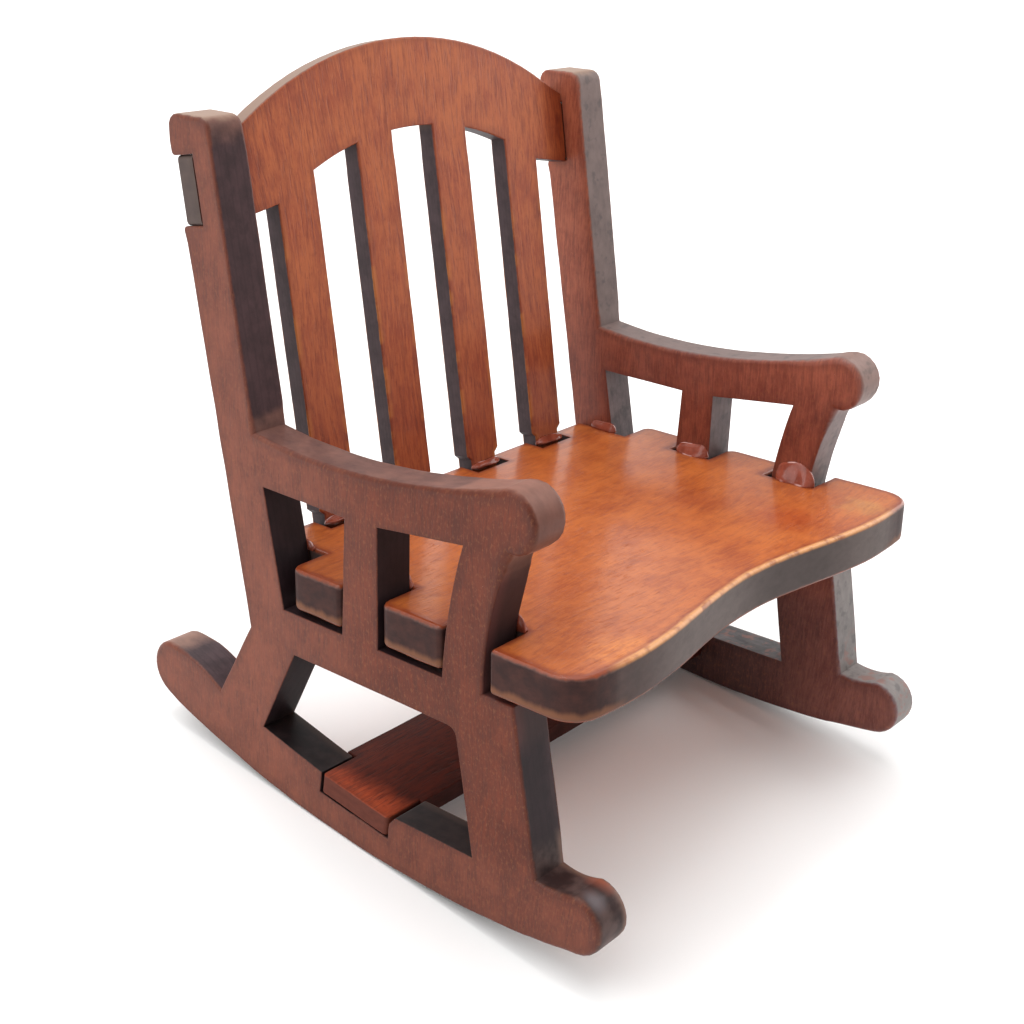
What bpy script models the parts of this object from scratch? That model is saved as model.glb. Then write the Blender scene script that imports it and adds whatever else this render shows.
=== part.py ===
"""Miniature rocking chair: five laser-cut plywood plates slotted together and held by beads of glue.

The chair is drawn level in millimetres, facing -Y, with the top of the seat at z = 0 and the seat's rear
edge at y = 0. It is then leaned back to the pose in which it comes to rest on its rockers.
"""

import math

import bmesh
import bpy
from mathutils import Matrix, Vector, geometry

MM = 0.001
ARC_STEPS = 12
FILLET_STEPS = 4

# Plywood and cutting
FRAME_PLY = 3.0
SEAT_PLY = 3.0
THIN_PLY = 1.5
KERF = 0.15
CORNER_R = 0.3

# Overall
FRAME_OUTER_X = 20.0
FRAME_INNER_X = FRAME_OUTER_X - FRAME_PLY
REST_LEAN = math.radians(7.06)

# Side frame: back post, whose two edges are straight leaning lines y = foot + lean * z
POST_FRONT_FOOT, POST_FRONT_LEAN = -2.95, 0.152
POST_REAR_FOOT, POST_REAR_LEAN = 0.67, 0.166
POST_TOP = 28.6
POST_HEAD_R = 0.9
KNEE = (-0.3, -5.85)

# Side frame: arm
ARM_REAR_Z = 8.62
ARM_FRONT = (-23.2, 10.24)
ARM_HANDLES = ((-22.9, 10.15), (-12.85, 6.95))
KNOB_CENTRE, KNOB_R = (-23.8, 8.3), 2.05
KNOB_FROM, KNOB_TO = 73, 268

# Side frame: the parts around the seat
SILL_Z = -3.4
FRONT_POST_EDGE = ((-23.87, 6.3), (-22.42, 1.7), (-21.85, SILL_Z))
SHOULDER_Y = -24.35
LEG_FOOT = (-26.35, -14.75)
REAR_WINDOW = ((-2.4, 5.05), (-10.1, 4.95), (-9.6, SILL_Z), (-3.92, SILL_Z))
FRONT_WINDOW_REAR = ((-12.9, SILL_Z), (-13.05, 5.1))
FRONT_WINDOW_EDGE = ((-20.25, 5.95), (-19.08, 1.2), (-18.52, SILL_Z))

# Side frame: rocker, a round-ended strip whose bottom is one arc
ROCKER_CENTRE, ROCKER_R = (-17.8, 57.4), 77.0
TIPS = ((8.95, 2.2), (-29.35, 2.1))
REAR_LEG_FOOT = (3.42, -12.1)
REAR_HOLLOW = (5.6, -10.95)
FRONT_HOLLOW = (-27.8, -14.85)

# Side frame: lower window
LOWER_WINDOW_TOP = -6.55
LOWER_WINDOW_REAR = ((-1.2, -13.4), (-4.8, LOWER_WINDOW_TOP))
LOWER_WINDOW_FRONT = ((-19.62, LOWER_WINDOW_TOP, 0.7), (-21.1, -15.4))
LOWER_RAIL_FRONT = (-14.2, -15.42, 0.35)
LOWER_RAIL_REAR = (-6.95, -14.72)

# Stretcher
STRETCHER_CENTRE = (-10.3, -15.98)
STRETCHER_TILT = math.radians(8.5)
STRETCHER_WIDTH = 6.3
STRETCHER_BODY_Y = (-3.45, 3.95)

# Seat
SEAT_INNER_X = FRAME_INNER_X - KERF
SEAT_TAB_X = 20.0
SEAT_WING_X = 20.2
SEAT_TABS = ((-4.75, -9.5), (-13.1, -18.42))
TAB_R = 0.8
WING_REAR_Y = -22.6
SEAT_MID_FRONT_Y = -28.05
SEAT_WAVE = 1.65
SEAT_LOBE_X = 14.7
SEAT_CORNER_R = 2.2
SEAT_FRONT_STEPS = 18
FOOT_NOTCH_DEPTH = 1.8
FOOT_NOTCH_HALF = 1.8

# Back plate, measured up its own front face from the level of the seat's top
BACK_FOOT_Y = -0.82
BACK_LEAN = math.radians(8.25)
ARCH_CENTRE_V, ARCH_R = 3.15, 29.3
RAIL_CENTRE_V, RAIL_R = 0.65, 25.6
RAIL_END_V = 21.85
EAR_V = (22.1, 26.3)
SLAT_X = (3.85, 11.65)
SLAT_WIDTH = 3.55
SLAT_END_V = 0.95
SHOULDER_V = 0.6
TENON_WIDTH = 2.75
EAR_NOTCH_V = (21.95, 26.45)
EAR_NOTCH_GAP = 0.12

# Glue beads: centre along y, then half-sizes across, along and up
GLUE_GAP = 0.06
POST_BEADS = {"rear_post": (-2.4, (0.8, 1.2, 0.6)), "spindle": (-11.3, (1.0, 1.5, 0.8)),
              "front_post": (-20.8, (1.1, 1.6, 0.9))}
FOOT_BEAD = (1.3, 0.7, 0.55)


# ---- outlines ----

def arc(centre, radius, start, end, steps=ARC_STEPS):
    """Points on a circle from one angle to another, in degrees."""
    angles = [math.radians(start + (end - start) * i / steps) for i in range(steps + 1)]
    return [(centre[0] + radius * math.cos(a), centre[1] + radius * math.sin(a)) for a in angles]


def arc_through(first, middle, last, steps=ARC_STEPS):
    """Points on the circle that runs through three points, from the first to the last."""
    a, b, c = (Vector(p) for p in (first, middle, last))
    d = 2 * (a.x * (b.y - c.y) + b.x * (c.y - a.y) + c.x * (a.y - b.y))
    x = (a.dot(a) * (b.y - c.y) + b.dot(b) * (c.y - a.y) + c.dot(c) * (a.y - b.y)) / d
    y = (a.dot(a) * (c.x - b.x) + b.dot(b) * (a.x - c.x) + c.dot(c) * (b.x - a.x)) / d
    centre = Vector((x, y))
    start = a - centre
    sweep = start.angle_signed(c - centre)
    return [tuple(centre + Matrix.Rotation(-sweep * i / steps, 2) @ start) for i in range(steps + 1)]


def rounded(corners):
    """The outline with each corner (x, y, radius) replaced by an arc; a corner (x, y) stays sharp."""
    points = []
    for i, corner in enumerate(corners):
        here = Vector(corner[:2])
        if len(corner) == 2:
            points.append(tuple(here))
            continue
        before = (Vector(corners[i - 1][:2]) - here).normalized()
        after = (Vector(corners[(i + 1) % len(corners)][:2]) - here).normalized()
        half = before.angle(after) / 2
        centre = here + (before + after).normalized() * (corner[2] / math.sin(half))
        start = here + before * (corner[2] / math.tan(half))
        end = here + after * (corner[2] / math.tan(half))
        sweep = (start - centre).angle_signed(end - centre)
        points += [tuple(centre + Matrix.Rotation(-sweep * k / FILLET_STEPS, 2) @ (start - centre))
                   for k in range(FILLET_STEPS + 1)]
    return points


def mirrored(half):
    """A half outline on the +x side, closed with its mirror image."""
    return half + [(-x, y) for x, y in reversed(half) if x > 0]


def post_front(z):
    return (POST_FRONT_FOOT + POST_FRONT_LEAN * z, z)


def post_rear(z):
    return (POST_REAR_FOOT + POST_REAR_LEAN * z, z)


def on_back(v, w):
    """The (y, z) of a point v up the back plate's front face and w behind it."""
    return (BACK_FOOT_Y + v * math.sin(BACK_LEAN) + w * math.cos(BACK_LEAN),
            v * math.cos(BACK_LEAN) - w * math.sin(BACK_LEAN))


def behind_post(v):
    """The (y, z) on the post's rear edge at height v of the back plate."""
    s, c = math.sin(BACK_LEAN), math.cos(BACK_LEAN)
    reach = POST_REAR_FOOT - BACK_FOOT_Y - v * (s - POST_REAR_LEAN * c)
    return on_back(v, reach / (c + POST_REAR_LEAN * s))


def on_stretcher(forward, up):
    """The (y, z) of a point that far forward of and above the stretcher's centre."""
    s, c = math.sin(STRETCHER_TILT), math.cos(STRETCHER_TILT)
    return (STRETCHER_CENTRE[0] - forward * c - up * s, STRETCHER_CENTRE[1] - forward * s + up * c)


# ---- objects ----

def material(name, colour, roughness, coat):
    made = bpy.data.materials.new(name)
    made.use_nodes = True
    shader = made.node_tree.nodes["Principled BSDF"]
    shader.inputs["Base Color"].default_value = (*colour, 1.0)
    shader.inputs["Roughness"].default_value = roughness
    shader.inputs["Coat Weight"].default_value = coat
    return made


def plate(name, outlines, thickness, placed, look):
    """A flat plate cut to the outlines, as a closed mesh. The first outline is the rim and the rest are holes."""
    curve = bpy.data.curves.new(name, "CURVE")
    curve.dimensions = "2D"
    curve.fill_mode = "BOTH"
    curve.extrude = thickness * MM / 2
    for outline in outlines:
        spline = curve.splines.new("POLY")
        spline.points.add(len(outline) - 1)
        for point, (x, y) in zip(spline.points, outline):
            point.co = (x * MM, y * MM, 0.0, 1.0)
        spline.use_cyclic_u = True
    drawn = bpy.data.objects.new(name + "_outline", curve)
    mesh = bpy.data.meshes.new_from_object(drawn)
    bpy.data.objects.remove(drawn)
    built = bmesh.new()
    built.from_mesh(mesh)
    bmesh.ops.remove_doubles(built, verts=built.verts, dist=MM / 1000)
    bmesh.ops.recalc_face_normals(built, faces=built.faces)
    built.to_mesh(mesh)
    built.free()
    mesh.transform(placed)
    mesh.name = name
    return add(name, mesh, look)


def add(name, mesh, look):
    mesh.materials.clear()
    mesh.materials.append(look)
    made = bpy.data.objects.new(name, mesh)
    bpy.data.collections["miniature_rocking_chair"].objects.link(made)
    return made


def side_frame(name, mid_x, look):
    """One side in a single plate, drawn in (y, z): post, arm, spindle, front post, legs and rocker."""
    upright = Matrix(((0, 0, 1, mid_x * MM), (1, 0, 0, 0), (0, 1, 0, 0), (0, 0, 0, 1)))
    holes = [rounded(REAR_WINDOW), front_window(), lower_window()]
    return plate(name, [frame_rim(), *holes], FRAME_PLY, upright, look)


def frame_rim():
    handles = [Vector(p) for p in (ARM_FRONT, *ARM_HANDLES, post_front(ARM_REAR_Z))]
    arm_top = [tuple(p.xy) for p in geometry.interpolate_bezier(*handles, 2 * ARC_STEPS)]
    head = rounded([post_front(ARM_REAR_Z), (*post_front(POST_TOP), POST_HEAD_R),
                    (*post_rear(POST_TOP), POST_HEAD_R), (*behind_post(EAR_NOTCH_V[1]), CORNER_R),
                    on_back(EAR_NOTCH_V[1], -EAR_NOTCH_GAP), on_back(EAR_NOTCH_V[0], -EAR_NOTCH_GAP),
                    (*behind_post(EAR_NOTCH_V[0]), CORNER_R), KNEE])
    knob = arc(KNOB_CENTRE, KNOB_R, KNOB_TO, KNOB_FROM)
    post = arc_through(*reversed(FRONT_POST_EDGE))
    return head[1:] + rocker_rim() + [LEG_FOOT, (SHOULDER_Y, SILL_Z)] + post[:-1] + knob + arm_top[1:]


def rocker_rim():
    """From the rear leg's foot round the rear tip, along the bottom and round the front tip to the front leg."""
    centres, angles = [], []
    for y, radius in TIPS:
        drop = math.sqrt((ROCKER_R - radius) ** 2 - (y - ROCKER_CENTRE[0]) ** 2)
        centres.append((y, ROCKER_CENTRE[1] - drop))
        angles.append(math.degrees(math.atan2(-drop, y - ROCKER_CENTRE[0])))
    rear_tip = arc(centres[0], TIPS[0][1], 95, angles[0])
    bottom = arc(ROCKER_CENTRE, ROCKER_R, *angles, 4 * ARC_STEPS)
    front_tip = arc(centres[1], TIPS[1][1], angles[1], -268)
    rear_top = arc_through(REAR_LEG_FOOT, REAR_HOLLOW, rear_tip[0])
    front_top = arc_through(front_tip[-1], FRONT_HOLLOW, LEG_FOOT)
    return rear_top[:-1] + rear_tip[:-1] + bottom + front_tip[1:] + front_top[1:-1]


def front_window():
    return [*FRONT_WINDOW_REAR, *arc_through(*FRONT_WINDOW_EDGE)]


def lower_window():
    """The opening between the legs, with the stretcher's notch in its floor."""
    half, deep, high = STRETCHER_WIDTH / 2 + KERF, -THIN_PLY / 2 - KERF, THIN_PLY / 2
    return rounded([*LOWER_WINDOW_REAR, *LOWER_WINDOW_FRONT, LOWER_RAIL_FRONT, on_stretcher(half, high / 2),
                    on_stretcher(half, deep), on_stretcher(-half, deep), on_stretcher(-half, high),
                    LOWER_RAIL_REAR])


def seat_plate(look):
    """The seat in (x, y): rear notches for the slats' feet, tabs through the side frames, and front wings."""
    half = [(0.0, 0.0)]
    for x in SLAT_X:
        half += [(x - FOOT_NOTCH_HALF, 0.0), (x - FOOT_NOTCH_HALF, -FOOT_NOTCH_DEPTH),
                 (x + FOOT_NOTCH_HALF, -FOOT_NOTCH_DEPTH), (x + FOOT_NOTCH_HALF, 0.0)]
    half.append((SEAT_INNER_X, 0.0, CORNER_R))
    for rear, front in SEAT_TABS:
        half += [(SEAT_INNER_X, rear), (SEAT_TAB_X, rear, TAB_R), (SEAT_TAB_X, front, TAB_R / 2),
                 (SEAT_INNER_X, front)]
    half += [(SEAT_INNER_X, WING_REAR_Y), (SEAT_WING_X, WING_REAR_Y, CORNER_R)]
    corner_x = SEAT_WING_X - SEAT_CORNER_R
    corner = arc((corner_x, seat_front(corner_x) + SEAT_CORNER_R), SEAT_CORNER_R, 0, -90, ARC_STEPS // 2)
    front = [corner_x * (1 - i / SEAT_FRONT_STEPS) for i in range(1, SEAT_FRONT_STEPS + 1)]
    half = rounded([*half, *corner, *((x, seat_front(x)) for x in front)])
    level = Matrix.Translation((0, 0, -SEAT_PLY * MM / 2))
    return plate("seat_plate", [mirrored(half)], SEAT_PLY, level, look)


def seat_front(x):
    """The front edge is one full wave across: hollow in the middle, with a lobe on each side."""
    return SEAT_MID_FRONT_Y - SEAT_WAVE * (1 - math.cos(math.pi * x / SEAT_LOBE_X)) / 2


def back_plate(look):
    """The arched rail with an ear at each end and four slats, drawn in (x, v)."""
    end_x = SEAT_INNER_X
    half = [(x, ARCH_CENTRE_V + math.sqrt(ARCH_R ** 2 - x ** 2))
            for x in (end_x * i / ARC_STEPS for i in range(ARC_STEPS + 1))]
    half += [(end_x, EAR_V[1]), (FRAME_OUTER_X, EAR_V[1], CORNER_R), (FRAME_OUTER_X, EAR_V[0], CORNER_R),
             (end_x, EAR_V[0]), (end_x, RAIL_END_V)]
    for x in reversed(SLAT_X):
        half += slat(x)
    half.append((0.0, RAIL_CENTRE_V + RAIL_R))
    leaning = Matrix.Rotation(math.pi / 2 - BACK_LEAN, 4, "X")
    leaning.translation = Vector((0, *on_back(0, THIN_PLY / 2))) * MM
    return plate("back_plate", [mirrored(rounded(half))], THIN_PLY, leaning, look)


def slat(x):
    """One slat's outline from its outer edge round its tenon to its inner edge, then the rail to the next."""
    tenon_v = -SEAT_PLY / math.cos(BACK_LEAN)
    outer, inner = x + SLAT_WIDTH / 2, x - SLAT_WIDTH / 2
    foot = [(outer, SLAT_END_V), (x + TENON_WIDTH / 2, SHOULDER_V), (x + TENON_WIDTH / 2, tenon_v),
            (x - TENON_WIDTH / 2, tenon_v), (x - TENON_WIDTH / 2, SHOULDER_V), (inner, SLAT_END_V)]
    gap = SLAT_X[1] - SLAT_X[0] - SLAT_WIDTH if x == SLAT_X[1] else inner
    rail = [(inner - gap * i / ARC_STEPS) for i in range(ARC_STEPS)]
    return [(outer, rail_under(outer)), *foot, *((at, rail_under(at)) for at in rail)]


def rail_under(x):
    return RAIL_CENTRE_V + math.sqrt(RAIL_R ** 2 - x ** 2)


def stretcher(look):
    """A strip with a shoulder at each corner, so that only its narrower ends drop into the frames' notches."""
    tilted = Matrix.Rotation(STRETCHER_TILT, 4, "X")
    tilted.translation = Vector((0, *STRETCHER_CENTRE)) * MM
    front, rear = STRETCHER_BODY_Y
    x, y = FRAME_OUTER_X, STRETCHER_WIDTH / 2
    half = [(0.0, rear), (SEAT_INNER_X, rear), (SEAT_INNER_X, y), (x, y, CORNER_R), (x, -y, CORNER_R),
            (SEAT_INNER_X, -y), (SEAT_INNER_X, front), (0.0, front)]
    return plate("stretcher", [mirrored(rounded(half))], THIN_PLY, tilted, look)


def glue_bead(name, at, sizes, wall, look):
    """A set drop of glue on the seat, cut flat underneath and where it meets the wood beside it."""
    built = bmesh.new()
    bmesh.ops.create_uvsphere(built, u_segments=20, v_segments=12, radius=MM)
    bmesh.ops.scale(built, vec=sizes, verts=built.verts)
    bmesh.ops.translate(built, vec=Vector(at) * MM, verts=built.verts)
    floor = Vector((0, 0, GLUE_GAP * MM))
    for point, facing in ((floor, Vector((0, 0, -1))), (Vector(at) * MM, wall)):
        everything = built.verts[:] + built.edges[:] + built.faces[:]
        cut = bmesh.ops.bisect_plane(built, geom=everything, plane_co=point, plane_no=facing, clear_outer=True)
        edges = [e for e in cut["geom_cut"] if isinstance(e, bmesh.types.BMEdge)]
        bmesh.ops.holes_fill(built, edges=edges)
    bmesh.ops.recalc_face_normals(built, faces=built.faces)
    mesh = bpy.data.meshes.new(name)
    built.to_mesh(mesh)
    built.free()
    return add(name, mesh, look)


def glue_beads(look):
    for side, name in ((-1, "right"), (1, "left")):
        for post, (y, sizes) in POST_BEADS.items():
            at = (side * (FRAME_INNER_X - GLUE_GAP), y, 0)
            glue_bead(f"glue_{post}_{name}", at, sizes, Vector((side, 0, 0)), look)
        for place, x in zip(("inner", "outer"), SLAT_X):
            at = (side * x, BACK_FOOT_Y - GLUE_GAP, 0)
            glue_bead(f"glue_{place}_slat_{name}", at, FOOT_BEAD, Vector((0, 1, 0)), look)


def set_down(objects):
    """Leans everything back to the rest pose, then centres it over the origin with its lowest point at z = 0."""
    lean = Matrix.Rotation(-REST_LEAN, 4, "X")
    for made in objects:
        made.data.transform(lean)
    points = [v.co for made in objects for v in made.data.vertices]
    low, high = (Vector(pick(p[i] for p in points) for i in range(3)) for pick in (min, max))
    home = Matrix.Translation((-(low.x + high.x) / 2, -(low.y + high.y) / 2, -low.z))
    for made in objects:
        made.data.transform(home)


def main():
    for old in list(bpy.data.objects):
        bpy.data.objects.remove(old)
    chair = bpy.data.collections.new("miniature_rocking_chair")
    bpy.context.scene.collection.children.link(chair)
    frame_wood = material("frame_wood", (0.22, 0.085, 0.06), 0.5, 0.1)
    panel_wood = material("panel_wood", (0.40, 0.11, 0.06), 0.45, 0.2)
    glue = material("glue", (0.45, 0.14, 0.10), 0.12, 1.0)
    mid_x = FRAME_INNER_X + FRAME_PLY / 2
    side_frame("side_frame_right", -mid_x, frame_wood)
    side_frame("side_frame_left", mid_x, frame_wood)
    seat_plate(panel_wood)
    back_plate(panel_wood)
    stretcher(panel_wood)
    glue_beads(glue)
    set_down(list(chair.objects))


main()
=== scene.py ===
"""Looks of the miniature rocking chair: stained plywood with burnt and sanded edges, and beads of glue."""
import math

import bmesh
import bpy
from mathutils import Euler, Matrix, Vector, geometry, noise
import numpy as np


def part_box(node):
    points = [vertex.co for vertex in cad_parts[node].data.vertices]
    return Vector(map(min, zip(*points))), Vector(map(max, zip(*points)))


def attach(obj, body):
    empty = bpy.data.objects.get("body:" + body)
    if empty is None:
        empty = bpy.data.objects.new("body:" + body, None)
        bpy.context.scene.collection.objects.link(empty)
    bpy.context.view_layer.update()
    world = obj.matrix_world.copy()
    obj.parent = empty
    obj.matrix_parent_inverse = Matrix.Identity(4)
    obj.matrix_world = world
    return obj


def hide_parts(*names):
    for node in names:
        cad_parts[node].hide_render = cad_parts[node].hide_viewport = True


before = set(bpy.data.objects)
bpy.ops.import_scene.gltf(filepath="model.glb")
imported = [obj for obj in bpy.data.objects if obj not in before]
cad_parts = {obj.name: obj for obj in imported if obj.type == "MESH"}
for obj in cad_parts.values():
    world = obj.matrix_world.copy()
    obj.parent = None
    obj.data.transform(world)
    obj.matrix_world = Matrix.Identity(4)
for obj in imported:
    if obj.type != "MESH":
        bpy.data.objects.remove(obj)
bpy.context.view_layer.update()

MM = 0.001
X, Y, Z = Vector((1, 0, 0)), Vector((0, 1, 0)), Vector((0, 0, 1))

# Places are given upright and in millimetres: seat top at z = 0, its rear edge at y = 0, facing -y. The
# packed chair leans back from there, about the x axis.
REST_LEAN = math.radians(7.06)
LEAN = Matrix.Rotation(-REST_LEAN, 3, "X")


def seat_corner():
    """The upright frame's origin, the middle of the seat's top rear edge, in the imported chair's own mm."""
    corners = [LEAN.transposed() @ v.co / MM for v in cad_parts["seat_plate"].data.vertices]
    return LEAN @ Vector((0.0, max(c.y for c in corners), max(c.z for c in corners)))


HOME = seat_corner()

# Plates: half thicknesses, and how they stand
PLY_HALF = 1.5
THIN_HALF = 0.75
FRAME_MID_X = sum(corner[0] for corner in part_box("side_frame_left")) / (2 * MM)
FRAME_INNER_X = FRAME_MID_X - PLY_HALF
BACK_FOOT_Y = -0.82
BACK_LEAN = math.radians(8.25)
STRETCHER_CENTRE = Vector((0.0, -10.3, -15.98))
STRETCHER_TILT = math.radians(8.5)


def to_level(point):
    """A world point, in metres, as the chair's upright millimetres."""
    return LEAN.transposed() @ (Vector(point) / MM - HOME)


def from_level(point):
    """Upright millimetres as a world point, in metres."""
    return (LEAN @ Vector(point) + HOME) * MM


def placing(origin, across, along, outwards):
    """The matrix from a plate's mm (across the grain, along it, out from mid ply) to the upright mm."""
    return Matrix.Translation(origin) @ Matrix((across, along, outwards)).transposed().to_4x4()


def tilted(angle):
    """The y and z axes turned by this angle about x."""
    return Vector((0.0, math.cos(angle), math.sin(angle))), Vector((0.0, -math.sin(angle), math.cos(angle)))


INTO_BACK, UP_BACK = tilted(-BACK_LEAN)
REARWARDS, OVER = tilted(STRETCHER_TILT)
PLACES = {
    "side_frame_right": placing(-FRAME_MID_X * X, Y, Z, -X),
    "side_frame_left": placing(FRAME_MID_X * X, Y, Z, X),
    "seat_plate": placing(-PLY_HALF * Z, Y, X, Z),
    "back_plate": placing(BACK_FOOT_Y * Y + THIN_HALF * INTO_BACK, X, UP_BACK, -INTO_BACK),
    "stretcher": placing(STRETCHER_CENTRE, REARWARDS, X, OVER),
}


# ---- sanding: the radius in mm of a plate's edges at (u, v), across and along its grain ----

# Side frame: the rear arm window, the front arm window and the leg window, as u from, u to, v from, v to
WINDOWS = ((-10.2, -2.3, -3.5, 5.2), (-20.4, -12.8, -3.5, 6.1), (-21.3, -1.0, -16.9, -6.4))
WINDOW_SANDING = 0.09
NOTCH_SANDING = 0.03
FRAME_SANDING = 0.20
ARM_SANDING = 0.33
# Rounder still at the arm's knob, the rocker's two tips and the post's head: centre, reach and strength
WORN_SANDING = 0.28
WORN_SPOTS = (((-23.8, 8.3), 4.5, 1.0), ((-29.35, -16.8), 4.5, 1.0), ((9.6, -12.0), 3.0, 1.0),
              ((1.5, 30.0), 3.3, 0.8))


def near(u, v, centre, reach):
    """1 at a point of the plate, falling to 0 at that reach from it."""
    away = math.hypot(u - centre[0], v - centre[1]) / reach
    return max(0.0, 1.0 - away) ** 0.5


def frame_sanding(u, v):
    if any(a < u < b and c < v < d for a, b, c, d in WINDOWS):
        return WINDOW_SANDING
    in_notch = 21.0 < v < 27.2 and u > 3.3
    if in_notch:
        return NOTCH_SANDING
    on_arm = -24 < u < -1.5 and v > 5
    worn = max(strength * near(u, v, centre, reach) for centre, reach, strength in WORN_SPOTS)
    return (ARM_SANDING if on_arm else FRAME_SANDING) + WORN_SANDING * worn


def seat_sanding(u, v):
    along_rear = u > -2.5
    if along_rear:
        return 0.08
    between_frames = abs(v) < 16.5 or u < -22
    return 0.27 if between_frames else 0.30


def back_sanding(u, v):
    on_ear = abs(u) > 16.8
    if on_ear:
        return 0.02
    along_arch = v > 24 and abs(u) < 16
    return 0.16 if along_arch else 0.11


def stretcher_sanding(u, v):
    return 0.10


# ---- plates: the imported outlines, with their edges sanded round ----

ROUND_STEPS = 4
LONGEST_STEP = 0.8
FLAT_JOIN = math.radians(35)
ON_FACE = 0.01
RIM_ANGLE = 1.0
# How the sanding varies along an edge: the share of it, and the waves per mm
UNEVEN = 0.35
UNEVEN_WAVES = 0.45
# Rows of points in from the outline: their distances, their spacing, and how many of a row's last and first
# points each new one is held against
HALO_STEPS = (0.30, 0.75)
HALO_SPACING = 0.2
HALO_LAST = 40
HALO_FIRST = 3

# The ears of the back plate, from EAR_U outwards, and the end walls of the side frames' notches for them
EAR_U = 16.9
EAR_MIDDLE_V = 24.2
EAR_GROWTH = 0.135
SHOULDER_U = 16.8
SNUG_SHOULDER_U = 16.98
NOTCH_WALL_U = (2.0, 3.2)
NOTCH_WALL_V = (21.6, 26.4)
NOTCH_GROWTH = 0.125


def area(points):
    return sum(p.cross(q) for p, q in zip(points, points[1:] + points[:1])) / 2


def rim_loops(node, to_plate, half):
    """The outlines of the plate's outward face in its own mm: the rim anticlockwise, the holes clockwise."""
    built = bmesh.new()
    built.from_mesh(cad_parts[node].data)
    bmesh.ops.remove_doubles(built, verts=built.verts, dist=MM / 1000)
    spots = {v: to_plate @ to_level(v.co) for v in built.verts}
    follows = {}
    for edge in built.edges:
        on_face = all(abs(spots[v].z - half) < ON_FACE for v in edge.verts)
        if on_face and edge.calc_face_angle(0.0) > RIM_ANGLE:
            for one, other in (edge.verts, reversed(edge.verts)):
                follows.setdefault(one, []).append(other)
    loops = []
    while follows:
        here = next(iter(follows))
        loop, last = [], None
        while here in follows:
            loop.append(spots[here].xy)
            onward = follows.pop(here)
            here, last = (onward[0] if onward[0] is not last else onward[1]), here
        loops.append(loop)
    built.free()
    loops.sort(key=lambda points: -abs(area(points)))
    return [points if (area(points) > 0) == (i == 0) else points[::-1] for i, points in enumerate(loops)]


def snug(node, points):
    """The ears of the back plate fill their notches in the side frames, as the glued joint does."""
    for p in points:
        if node == "back_plate" and abs(p.x) > EAR_U:
            p.y += EAR_GROWTH if p.y > EAR_MIDDLE_V else -EAR_GROWTH
        elif node == "back_plate" and abs(p.x) > SHOULDER_U:
            p.x = math.copysign(SNUG_SHOULDER_U, p.x)
        elif node.startswith("side_frame"):
            if NOTCH_WALL_V[0] < p.y < NOTCH_WALL_V[1] and NOTCH_WALL_U[0] < p.x < NOTCH_WALL_U[1]:
                p.x += NOTCH_GROWTH
    return points


def stepped(points):
    """The outline with its long straight stretches divided, so that the sanding can vary along them."""
    done = []
    for p, q in zip(points, points[1:] + points[:1]):
        parts = max(1, math.ceil((q - p).length / LONGEST_STEP))
        done += [p.lerp(q, k / parts) for k in range(parts)]
    return done


def outward_normals(points):
    """For each point of an outline: the inset direction, and the shading normals before and after it."""
    sides = [(q - p) for p, q in zip(points, points[1:] + points[:1])]
    flat = [Vector((d.y, -d.x)).normalized() for d in sides]
    found = []
    for i in range(len(points)):
        before, after = flat[i - 1], flat[i]
        inset = (before + after) / (1.0 + before.dot(after))
        if before.angle(after) > FLAT_JOIN:
            found.append((inset, before, after))
        else:
            shared = (before * sides[i - 1].length + after * sides[i].length).normalized()
            found.append((inset, shared, shared))
    return found


def stretches(loops):
    """The starts and the ends of all stretches of the outlines, as two arrays."""
    starts = np.array([p for loop in loops for p in loop])
    ends = np.array([p for loop in loops for p in loop[1:] + loop[:1]])
    return starts, ends


def to_outline(points, loops):
    """The distance of each point from the nearest stretch of the outlines."""
    starts, ends = stretches(loops)
    along = ends - starts
    reach = np.maximum((along ** 2).sum(1), 1e-12)
    found = []
    for point in points:
        share = np.clip(((np.array(point) - starts) * along).sum(1) / reach, 0, 1)
        found.append(float(np.sqrt(((starts + along * share[:, None] - point) ** 2).sum(1).min())))
    return found


def inside_outline(x, y, starts, ends):
    """Whether the point lies between the outlines: a ray from it crosses them an odd number of times."""
    rises = (starts[:, 1] > y) != (ends[:, 1] > y)
    low, high = starts[rises], ends[rises]
    crossings = low[:, 0] + (y - low[:, 1]) * (high[:, 0] - low[:, 0]) / (high[:, 1] - low[:, 1])
    return (crossings > x).sum() % 2 == 1


def halo_points(loops):
    """Points in rows a little way in from the outlines, where the scorch and the golden rim lines, worn and
    partly painted highlight, fade.
    """
    inner = []
    for step in HALO_STEPS:
        row = []
        for loop in loops:
            joins = outward_normals([Vector(p) for p in loop])
            row += [tuple(Vector(p) - inset * step) for p, (inset, _, _) in zip(loop, joins)]
        kept = []
        for p, distance in zip(row, to_outline(row, loops)):
            neighbours = kept[-HALO_LAST:] + kept[:HALO_FIRST]
            apart = all(abs(p[0] - q[0]) + abs(p[1] - q[1]) > HALO_SPACING for q in neighbours)
            if distance > 0.9 * step and apart:
                kept.append(p)
        inner += kept
    return inner


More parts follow.
